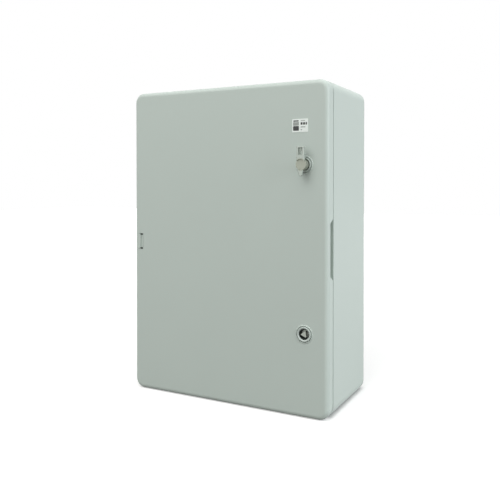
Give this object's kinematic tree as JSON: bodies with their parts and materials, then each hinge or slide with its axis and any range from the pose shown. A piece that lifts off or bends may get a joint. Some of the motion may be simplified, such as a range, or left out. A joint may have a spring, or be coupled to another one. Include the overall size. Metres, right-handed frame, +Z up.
{
  "type": "electrical enclosure",
  "caption": "Wall-mounting plastic enclosure with a hinged door, quarter-turn locks, a key in the upper one, a finger grip and a mounting plate inside.",
  "frame": {"origin": "middle of the case's underside, halfway along its width and depth", "axes": "+Z up, -Y towards the door and the viewer, +X to the viewer's right"},
  "size_m": [0.3585, 0.1957, 0.5],
  "materials": {
    "case_plastic": "fine-textured moulded light grey",
    "lock_grey": "satin light grey",
    "rotor_black": "matt black",
    "zinc": "satin die-cast zinc",
    "zinc_plated_steel": "bright zinc-plated",
    "galvanised_sheet": "galvanised, light spangle",
    "nut_plastic": "black glass-filled",
    "insert_brass": "turned brass",
    "seal_rubber": "matt black",
    "gasket_foam": "foamed polyurethane, dark grey",
    "label_print": "satin printed film"
  },
  "bodies": {
    "case": {"base_shell": "case_plastic", "base_rim": "case_plastic", "hinge_pin_lower": "zinc_plated_steel", "hinge_pin_upper": "zinc_plated_steel", "mounting_plate": "galvanised_sheet", "plate_inserts": "insert_brass", "plate_screws": "zinc_plated_steel"},
    "door": {"door_shell": "case_plastic", "door_rib": "case_plastic", "door_grip": "case_plastic", "hinge_side_insert": "case_plastic", "door_gasket": "gasket_foam", "door_label": "label_print", "lower_lock_housing": "lock_grey", "lower_lock_seal": "seal_rubber", "lower_lock_nut": "nut_plastic", "upper_lock_housing": "lock_grey", "upper_lock_seal": "seal_rubber", "upper_lock_nut": "nut_plastic"},
    "lower_lock": {"lower_lock_rotor": "rotor_black", "lower_lock_spindle": "zinc", "lower_lock_cam": "zinc_plated_steel", "lower_cam_screw": "zinc_plated_steel"},
    "upper_lock": {"upper_lock_rotor": "rotor_black", "upper_lock_spindle": "zinc", "upper_lock_cam": "zinc_plated_steel", "upper_cam_screw": "zinc_plated_steel", "upper_key": "zinc"}
  },
  "joints": [
    {"name": "door_hinge", "type": "hinge", "parent": "case", "child": "door", "pos_m": [-0.1795, -0.0694, 0.25], "axis": [0, 0, -1], "range_deg": [0, 180]},
    {"name": "lower_lock_turn", "type": "hinge", "parent": "door", "child": "lower_lock", "pos_m": [0.137, -0.09, 0.125], "axis": [0, -1, 0], "range_deg": [0, 90]},
    {"name": "upper_lock_turn", "type": "hinge", "parent": "door", "child": "upper_lock", "pos_m": [0.137, -0.09, 0.375], "axis": [0, -1, 0], "range_deg": [0, 90]}
  ]
}
